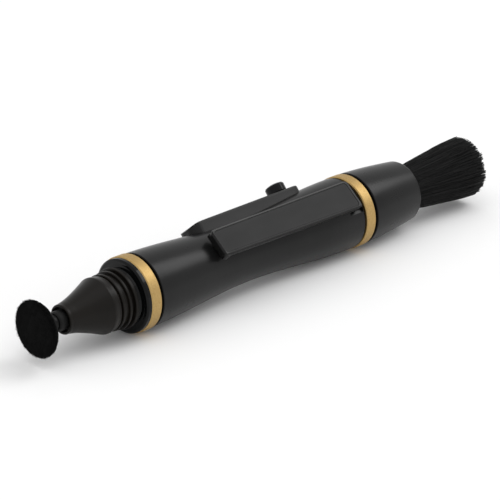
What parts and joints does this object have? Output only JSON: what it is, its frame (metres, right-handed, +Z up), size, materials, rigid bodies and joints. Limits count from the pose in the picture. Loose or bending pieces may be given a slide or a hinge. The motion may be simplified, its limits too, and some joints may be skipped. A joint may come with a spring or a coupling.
{
  "type": "lens cleaning pen",
  "caption": "Pen-shaped lens cleaner: a round suede tip that swivels on a tapered nose, a waisted barrel with a pocket clip, and a brush slid in and out by a button.",
  "frame": {"origin": "on the pen's axis at the front face of the front trim ring, where a cap stops against it", "axes": "+X along the pen from the cleaning tip towards the brush; +Z up, between the slider rail, 41 degrees to the +Y side, and the pocket clip, 38.5 degrees to the -Y side; the pen lies on its plain back, on its two trim rings, and as a round part it has no rest of its own: in use it is held in a pocket by its clip"},
  "size_m": [0.134, 0.0175, 0.0183],
  "materials": {
    "suede": "brushed nap",
    "foam": "soft closed cell",
    "tip_plastic": "fine matte",
    "soft_rubber": "matte",
    "nose_plastic": "soft satin",
    "inner_plastic": "as moulded",
    "gloss_black": "polished",
    "satin_black": "satin",
    "label_plate": "satin",
    "gold_trim": "satin gold anodised",
    "spring_steel": "rolled",
    "ferrule_metal": "drawn",
    "resin": "cured resin",
    "bristle": "fine hair"
  },
  "bodies": {
    "root": {"barrel": "satin_black", "slide_rail": "satin_black", "nose_cone": "nose_plastic", "ball_retainer": "inner_plastic", "cap_collar": "gloss_black", "front_trim_ring": "gold_trim", "rear_trim_ring": "gold_trim", "rear_shroud": "satin_black"},
    "swivel": {"neck_bushing": "soft_rubber"},
    "tip": {"tip_holder": "tip_plastic", "neck_sleeve": "soft_rubber", "pad_cushion": "foam", "cleaning_pad": "suede"},
    "clip": {"pocket_clip": "satin_black", "clip_label": "label_plate"},
    "brush": {"brush_carriage": "inner_plastic", "slider_button": "gloss_black", "detent_spring": "spring_steel", "brush_ferrule": "ferrule_metal", "bristle_plug": "resin", "brush_bristles": "bristle"}
  },
  "joints": [
    {"name": "tip_pitch", "type": "hinge", "parent": "root", "child": "swivel", "pos_m": [-0.016, 0, 0], "axis": [0, 1, 0], "range_deg": [-7, 7], "stiffness_Nm_per_rad": 0.03},
    {"name": "tip_yaw", "type": "hinge", "parent": "swivel", "child": "tip", "pos_m": [-0.016, 0, 0], "axis": [0, 0, 1], "range_deg": [-7, 7], "stiffness_Nm_per_rad": 0.03},
    {"name": "clip_flex", "type": "hinge", "parent": "root", "child": "clip", "pos_m": [0.063, -0.00451, 0.00567], "axis": [0, 0.7826, 0.6225], "range_deg": [0, 4], "stiffness_Nm_per_rad": 1.6},
    {"name": "brush_slide", "type": "slide", "parent": "root", "child": "brush", "axis": [-1, 0, 0], "range_m": [0, 0.024], "deforming": ["brush_bristles"]}
  ]
}
